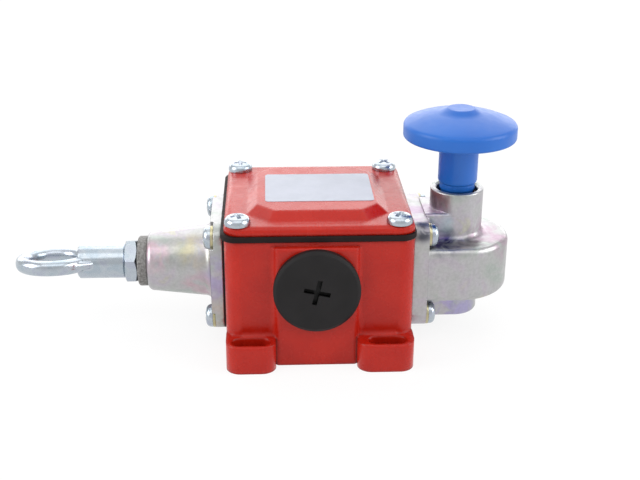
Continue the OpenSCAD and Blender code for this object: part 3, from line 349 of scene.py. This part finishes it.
def plug_plastic(node, side):
    """Black plastic of the plug on one side, with painted shade darkening it down in its cross slot."""
    m = Shader("black_plastic_" + node)
    m.round_edges(0.4 * MM)
    low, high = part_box(node)
    centre = (low + high) / 2
    face = low.y if side < 0 else high.y
    split = m.tree.nodes.new("ShaderNodeSeparateXYZ")
    m.tree.links.new(m.place, split.inputs[0])
    depth = m.tree.nodes.new("ShaderNodeMapRange")
    depth.inputs["From Min"].default_value = face
    depth.inputs["From Max"].default_value = face - side * PLUG_SHADE_DEPTH
    m.tree.links.new(split.outputs["Y"], depth.inputs["Value"])
    slot = m.near((centre.x, face, centre.z), PLUG_SHADE_REACH, PLUG_SHADE_CORE)
    plain = m.two_tone(8 * MM, 3.0, rgb(18, 16, 17), rgb(25, 23, 24))
    # painted shade: the plastic goes to near black down in the cross slot
    m.join(m.mix(m.times(slot, depth.outputs["Result"]), plain, rgb(1, 1, 1)), "Base Color")
    m.roughen(2 * MM, 3.0, 0.42, 0.54)
    m.join(m.bump(m.noise(0.8 * MM, detail=2.0), 0.2, 0.1 * MM), "Normal")
    m.set(Specular_IOR_Level=0.25)
    return m.material


def sintered(name, dark, light, size):
    """Sintered bearing material with fine dark and pale grains."""
    m = Shader(name)
    grains = m.noise(size, detail=4.0, rough=0.75)
    m.join(m.ramp(grains, [(0.36, dark), (0.62, light)]), "Base Color")
    m.join(m.grey_ramp(grains, 0.45, 0.7, *MIDDLE), "Roughness")
    m.join(m.bump(grains, 0.3, 0.1 * MM), "Normal")
    m.set(Metallic=0.3, Specular_IOR_Level=0.3)
    return m.material


LINES_STRETCH = (8.0, 1.0, 1.0)


def turned_metal(name, dark, light):
    """Machined or drawn metal with fine lines across its length."""
    m = Shader(name)
    m.mottle(4 * MM, 3.0, dark, light)
    lines = m.noise(2 * MM, detail=3.0, stretch=LINES_STRETCH)
    m.join(m.grey_ramp(lines, 0.25, 0.4, *MIDDLE), "Roughness")
    m.join(m.bump(lines, 0.15, 0.05 * MM), "Normal")
    m.set(Metallic=1.0)
    return m.material


def label_film():
    """Pale metallised label film."""
    m = Shader("label_film")
    m.mottle(10 * MM, 2.0, rgb(160, 164, 176), rgb(168, 172, 184))
    m.roughen(2 * MM, 3.0, 0.34, 0.44)
    m.join(m.bump(m.noise(1.2 * MM, detail=2.0), 0.06, 0.05 * MM), "Normal")
    m.set(Metallic=0.15, Specular_IOR_Level=0.3)
    return m.material


def make_materials():
    """One material for each material slot of the record."""
    return {
        "red_paint": red_paint(),
        "black_rubber": moulded("black_rubber", rgb(24, 15, 15), rgb(31, 20, 20), 0.55, 0.7, gloss=0.18),
        "black_plastic": moulded("black_plastic", rgb(22, 20, 21), rgb(29, 27, 28), 0.42, 0.55),
        "zinc_casting": zinc_casting("zinc_casting", RESET_HEAD_STAINS_AND_SHADE),
        "zinc_plated": zinc_plated(),
        "steel": turned_metal("steel", rgb(150, 152, 156), rgb(178, 180, 184)),
        "bush_grey": sintered("bush_grey", rgb(92, 90, 88), rgb(150, 149, 147), 0.9 * MM),
        "brass": turned_metal("brass", rgb(176, 140, 76), rgb(196, 162, 96)),
        "yellow_zinc": turned_metal("yellow_zinc", rgb(176, 168, 128), rgb(196, 190, 160)),
        "blue_plastic": blue_plastic(),
        "ivory_plastic": moulded("ivory_plastic", rgb(200, 194, 176), rgb(212, 206, 188), 0.4, 0.5),
    }


# --- CAD nodes ---------------------------------------------------------------

# bevel widths in mm; clamped, so where a face is small its edges get only a part of this
BEVELS = {
    "housing": 0.5, "cover": 1.0, "cover_gasket": 0.3, "rope_head": 0.4, "reset_head": 0.4,
    "rope_head_gasket": 0.15, "reset_head_gasket": 0.15, "reset_knob": 0.5, "rope_eye": 0.4,
    "lock_nut": 0.25, "guide_bush": 0.2, "cable_plug_front": 0.25, "cable_plug_rear": 0.25,
    "rope_head_washers": 0.1, "reset_head_washers": 0.1,
}
SHARP_ANGLE = math.radians(28)
BEVEL_SEGMENTS = 3
WELD_REACH = 0.001 * MM


def finish_node(obj, width):
    """Joins the node's split facets and rounds its hard edges as far as its faces allow."""
    weld = obj.modifiers.new("weld", "WELD")
    weld.merge_threshold = WELD_REACH
    if width:
        bevel = obj.modifiers.new("bevel", "BEVEL")
        bevel.width = width * MM
        bevel.segments = BEVEL_SEGMENTS
        bevel.limit_method = "ANGLE"
        bevel.angle_limit = SHARP_ANGLE
        bevel.harden_normals = True
        bevel.miter_outer = "MITER_ARC"


def dress_nodes(materials):
    """Gives each CAD node the material of its slot, or one of its own."""
    slots = {p["node"]: p["material_slot"] for p in frame["record"]["subparts"]}
    own = {
        "rope_head": zinc_casting("zinc_casting_rope", ROPE_HEAD_STAINS_AND_HIGHLIGHT),
        "cable_plug_front": plug_plastic("cable_plug_front", -1),
        "cable_plug_rear": plug_plastic("cable_plug_rear", 1),
    }
    for name, obj in frame["nodes"].items():
        obj.data.materials.clear()
        obj.data.materials.append(own.get(name, materials[slots[name]]))
        finish_node(obj, BEVELS.get(name, 0.0))


# --- pieces made here --------------------------------------------------------

def mesh_piece(name, mesh, material, body):
    """New flat-shaded piece that rides on a body."""
    piece = bpy.data.objects.new(name, mesh)
    bpy.context.scene.collection.objects.link(piece)
    mesh.materials.append(material)
    for polygon in mesh.polygons:
        polygon.use_smooth = False
    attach(piece, body)
    return piece


CORNER_STEPS = 8


def rounded_outline(length, width, radius):
    """Points round a rectangle with rounded corners, centred on the origin."""
    points = []
    for corner, (sx, sy) in enumerate(((1, 1), (-1, 1), (-1, -1), (1, -1))):
        for i in range(CORNER_STEPS + 1):
            a = math.radians(90 * corner + 90 * i / CORNER_STEPS)
            points.append(Vector((
                sx * (length / 2 - radius) + radius * math.cos(a),
                sy * (width / 2 - radius) + radius * math.sin(a),
            )))
    return points


# length, width, corner radius and thickness of the label, and its shift from the cover's middle
LABEL_L, LABEL_W, LABEL_R, LABEL_T = 41.6 * MM, 30.6 * MM, 1.6 * MM, 0.12 * MM
LABEL_X = 1.1 * MM


def prism(upper, lower):
    """Closed solid between two rings of points, in an order that is the same each run."""
    bm = bmesh.new()
    rings = [[bm.verts.new(p) for p in points] for points in (upper, lower)]
    for ring in rings:
        bm.faces.new(ring)
    for i in range(len(upper)):
        j = (i + 1) % len(upper)
        bm.faces.new((rings[0][i], rings[0][j], rings[1][j], rings[1][i]))
    bmesh.ops.recalc_face_normals(bm, faces=bm.faces)
    return bm


def rating_plate(material):
    """Bare label on the raised panel of the cover."""
    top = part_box("cover")[1].z
    outline = rounded_outline(LABEL_L, LABEL_W, LABEL_R)
    upper, lower = ([(p.x + LABEL_X, p.y, z) for p in outline] for z in (top + LABEL_T, top))
    mesh = bpy.data.meshes.new("rating_plate")
    bm = prism(upper, lower)
    bm.to_mesh(mesh)
    bm.free()
    mesh_piece("rating_plate", mesh, material, "base")


COVER_HEAD = (3.5 * MM, 9.8 * MM, 5.0 * MM)      # height, diameter, shank diameter
FLANGE_HEAD = (3.2 * MM, 9.0 * MM, 5.0 * MM)
HEAD_LOWER = 0.1 * MM                            # than the CAD head
CROWN_RADIUS = 1.0                               # of the crown's arc, as a share of the diameter
CROWN_SHARE = 0.58                               # of the radius, where the crown meets the shoulder
SHOULDER_SHARE = 0.22                            # of the height, where the shoulder meets the rim
CROWN_STEPS, SHOULDER_STEPS, ROUND_STEPS = 4, 7, 40
RIM_CHAMFER = 0.12 * MM
RECESS_TOP, RECESS_FOOT = (0.62, 0.17), (0.24, 0.07)     # length and width, shares of the diameter
RECESS_DEPTH = 0.62                              # share of the height
RECESS_TURN, RECESS_TURN_STEP = 20.0, 37.0       # degrees: the first screw's turn, and from screw to screw
SCREW_SHARP = math.radians(35)


def screw_profile(head_d, head_h, shank_d, shank_l):
    """Half section of a pan head screw as (radius, height) from the crown to the tip, seated at 0."""
    crown_r = head_d * CROWN_RADIUS
    crown_edge = head_d / 2 * CROWN_SHARE

    def crown_z(r):
        return head_h - crown_r + math.sqrt(crown_r ** 2 - r ** 2)

    points = [(r, crown_z(r)) for r in (crown_edge * i / CROWN_STEPS for i in range(CROWN_STEPS + 1))]
    drop = crown_z(crown_edge) - head_h * SHOULDER_SHARE
    for i in range(1, SHOULDER_STEPS + 1):
        a = math.radians(90 * i / SHOULDER_STEPS)
        points.append((
            crown_edge + (head_d / 2 - crown_edge) * math.sin(a),
            head_h * SHOULDER_SHARE + drop * math.cos(a),
        ))
    points += [
        (head_d / 2, RIM_CHAMFER), (head_d / 2 - RIM_CHAMFER, 0.0),
        (shank_d / 2, 0.0), (shank_d / 2, -shank_l), (0.0, -shank_l),
    ]
    return points


def revolved(name, profile):
    """Closed solid turned about Z from a half section that starts and ends on the axis."""
    mesh = bpy.data.meshes.new(name)
    bm = bmesh.new()
    rings = []
    for r, z in profile:
        if r == 0.0:
            rings.append([bm.verts.new((0.0, 0.0, z))] * ROUND_STEPS)
            continue
        angles = (2 * math.pi * i / ROUND_STEPS for i in range(ROUND_STEPS))
        rings.append([bm.verts.new((r * math.cos(a), r * math.sin(a), z)) for a in angles])
    for upper, lower in zip(rings, rings[1:]):
        for i in range(ROUND_STEPS):
            j = (i + 1) % ROUND_STEPS
            corners = dict.fromkeys((upper[i], lower[i], lower[j], upper[j]))
            bm.faces.new(list(corners))
    bmesh.ops.recalc_face_normals(bm, faces=bm.faces)
    bm.to_mesh(mesh)
    bm.free()
    return mesh


def recess_bar(head_d, head_h, turn):
    """One tapered bar of the cross recess, as an object to cut with."""
    levels = []
    for (length, width), z in ((RECESS_TOP, head_h), (RECESS_FOOT, head_h * (1 - RECESS_DEPTH))):
        x, y = length * head_d / 2, width * head_d / 2
        levels.append([Vector((sx * x, sy * y, z)) for sx, sy in ((-1, -1), (1, -1), (1, 1), (-1, 1))])
    top, foot = levels
    lifted = [2 * high - low for high, low in zip(top, foot)]    # past the crown, on the same taper
    bm = prism(lifted, foot)
    bmesh.ops.rotate(bm, verts=bm.verts, matrix=Matrix.Rotation(math.radians(turn), 3, "Z"))
    mesh = bpy.data.meshes.new("recess_bar")
    bm.to_mesh(mesh)
    bm.free()
    return bpy.data.objects.new("recess_bar", mesh)


def screw_mesh(head_d, head_h, shank_d, shank_l, turn):
    """One screw, its recess cut by two crossed bars."""
    blank = bpy.data.objects.new("blank", revolved("blank", screw_profile(head_d, head_h, shank_d, shank_l)))
    helpers = [blank]
    for quarter in (0, 90):
        bar = recess_bar(head_d, head_h, turn + quarter)
        helpers.append(bar)
        cut = blank.modifiers.new("recess", "BOOLEAN")
        cut.operation = "DIFFERENCE"
        cut.solver = "EXACT"
        cut.object = bar
    for helper in helpers:
        bpy.context.scene.collection.objects.link(helper)
    graph = bpy.context.evaluated_depsgraph_get()
    mesh = bpy.data.meshes.new_from_object(blank.evaluated_get(graph))
    for helper in helpers:
        bpy.data.objects.remove(helper)
    return mesh


def screws_for(node, head_h, head_d, shank_d, facing, material):
    """Four screws in place of a CAD node, at the corners of its box and facing along one axis."""
    low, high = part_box(node)
    facing = Vector(facing)
    across = [i for i in range(3) if abs(facing[i]) < 0.5]
    along = 3 - sum(across)
    outer = high[along] if facing[along] > 0 else low[along]
    shank_l = high[along] - low[along] - head_h - HEAD_LOWER
    stand = facing.to_track_quat("Z", "Y").to_matrix().to_4x4()
    bm = bmesh.new()
    for i in range(4):
        place = Vector((0.0, 0.0, 0.0))
        place[along] = outer - facing[along] * (head_h + HEAD_LOWER)
        for axis, far in zip(across, (i % 2, i // 2)):
            place[axis] = high[axis] - head_d / 2 if far else low[axis] + head_d / 2
        screw = screw_mesh(head_d, head_h, shank_d, shank_l, RECESS_TURN + i * RECESS_TURN_STEP)
        screw.transform(Matrix.Translation(place) @ stand)
        bm.from_mesh(screw)
    mesh = bpy.data.meshes.new(node + "_cut")
    bm.to_mesh(mesh)
    bm.free()
    piece = mesh_piece(node + "_cut", mesh, material, "base")
    mesh.polygons.foreach_set("use_smooth", [True] * len(mesh.polygons))
    mesh.set_sharp_from_angle(angle=SCREW_SHARP)
    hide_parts(node)


def make_screws(material):
    """Finer heads for the screws that are seen."""
    screws_for("cover_screws", *COVER_HEAD, (0, 0, 1), material)
    screws_for("rope_head_screws", *FLANGE_HEAD, (-1, 0, 0), material)
    screws_for("reset_head_screws", *FLANGE_HEAD, (1, 0, 0), material)


def yielding_spring(node):
    """A copy of a spring's mesh that rides on the base in place of its CAD node."""
    source = frame["nodes"][node]
    piece = bpy.data.objects.new(node + "_coil", source.data.copy())
    bpy.context.scene.collection.objects.link(piece)
    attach(piece, "base")
    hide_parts(node)
    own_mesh(piece)


def make_springs():
    """The four springs, each a copy that rides on the base."""
    yielding_spring("pull_spring")
    yielding_spring("reset_spring")
    for side in ("left", "right"):
        yielding_spring("plunger_spring_" + side)


# --- floor and light ---------------------------------------------------------

FLOOR_SIZE = 8.0
FLOOR_COLOUR = (0.9, 0.9, 0.9, 1.0)
FLOOR_GLOW = 1.0
FLOOR_GLOW_SHARE = 0.86      # the rest of what is seen is lit, and so keeps the shadow


def seen_directly(tree):
    """1 for a ray from the camera, a gloss or a glass, 0 for the light that falls on the switch."""
    path = tree.nodes.new("ShaderNodeLightPath")
    share = path.outputs["Is Camera Ray"]
    for name in ("Is Glossy Ray", "Is Transmission Ray"):
        larger = tree.nodes.new("ShaderNodeMath")
        larger.operation = "MAXIMUM"
        tree.links.new(share, larger.inputs[0])
        tree.links.new(path.outputs[name], larger.inputs[1])
        share = larger.outputs[0]
    return share


def make_floor():
    """White floor that keeps a soft shadow under the switch."""
    bpy.ops.mesh.primitive_plane_add(size=FLOOR_SIZE, location=(0, 0, 0))
    floor = bpy.context.object
    floor.name = "floor"
    material = bpy.data.materials.new("floor")
    material.use_nodes = True
    tree = material.node_tree
    tree.nodes.clear()
    out = tree.nodes.new("ShaderNodeOutputMaterial")
    diffuse = tree.nodes.new("ShaderNodeBsdfDiffuse")
    diffuse.inputs["Color"].default_value = FLOOR_COLOUR
    glow = tree.nodes.new("ShaderNodeEmission")
    glow.inputs["Strength"].default_value = FLOOR_GLOW
    share = tree.nodes.new("ShaderNodeMath")
    share.operation = "MULTIPLY"
    share.inputs[1].default_value = FLOOR_GLOW_SHARE
    mix = tree.nodes.new("ShaderNodeMixShader")
    tree.links.new(seen_directly(tree), share.inputs[0])
    tree.links.new(share.outputs[0], mix.inputs[0])
    tree.links.new(diffuse.outputs[0], mix.inputs[1])
    tree.links.new(glow.outputs[0], mix.inputs[2])
    tree.links.new(mix.outputs[0], out.inputs["Surface"])
    floor.data.materials.append(material)


LIGHT_AIM = Vector((0.0, 0.0, 30.0)) * MM
WORLD_WHITE = 1.0        # seen directly
WORLD_SOFT = 0.72        # on the switch


def area_light(name, at, size, power):
    """Rectangular lamp aimed at the switch; metres and watts."""
    data = bpy.data.lights.new(name, "AREA")
    data.shape = "RECTANGLE"
    data.size, data.size_y = size
    data.energy = power
    lamp = bpy.data.objects.new(name, data)
    bpy.context.scene.collection.objects.link(lamp)
    lamp.location = at
    lamp.rotation_mode = "QUATERNION"
    lamp.rotation_quaternion = (LIGHT_AIM - Vector(at)).to_track_quat("-Z", "Y")


def make_world():
    """White behind everything, softer on the switch itself."""
    world = bpy.data.worlds.new("world")
    world.use_nodes = True
    bpy.context.scene.world = world
    tree = world.node_tree
    tree.nodes.clear()
    out = tree.nodes.new("ShaderNodeOutputWorld")
    white = tree.nodes.new("ShaderNodeBackground")
    white.inputs["Strength"].default_value = WORLD_WHITE
    soft = tree.nodes.new("ShaderNodeBackground")
    soft.inputs["Strength"].default_value = WORLD_SOFT
    mix = tree.nodes.new("ShaderNodeMixShader")
    tree.links.new(seen_directly(tree), mix.inputs[0])
    tree.links.new(soft.outputs[0], mix.inputs[1])
    tree.links.new(white.outputs[0], mix.inputs[2])
    tree.links.new(mix.outputs[0], out.inputs["Surface"])


def make_lights():
    """A bright wall behind, a darker top and bright sides, as the photo's reflections show."""
    area_light("back_wall", (0.0, 1.3, 0.35), (2.6, 0.6), 9.5)
    area_light("back_top", (0.0, 0.85, 1.0), (1.6, 0.8), 5.8)
    area_light("top", (0.0, 0.0, 1.3), (1.2, 1.0), 1.8)
    area_light("front_top", (0.0, -0.6, 1.15), (1.4, 0.6), 3.0)
    for side in (-1, 1):
        area_light("side", (side * 1.1, -0.3, 0.6), (0.8, 0.8), 7.8)


make_camera()
materials = make_materials()
dress_nodes(materials)
rating_plate(label_film())
make_screws(materials["zinc_plated"])
make_springs()
make_floor()
make_world()
make_lights()
bpy.context.scene.view_settings.view_transform = "Standard"
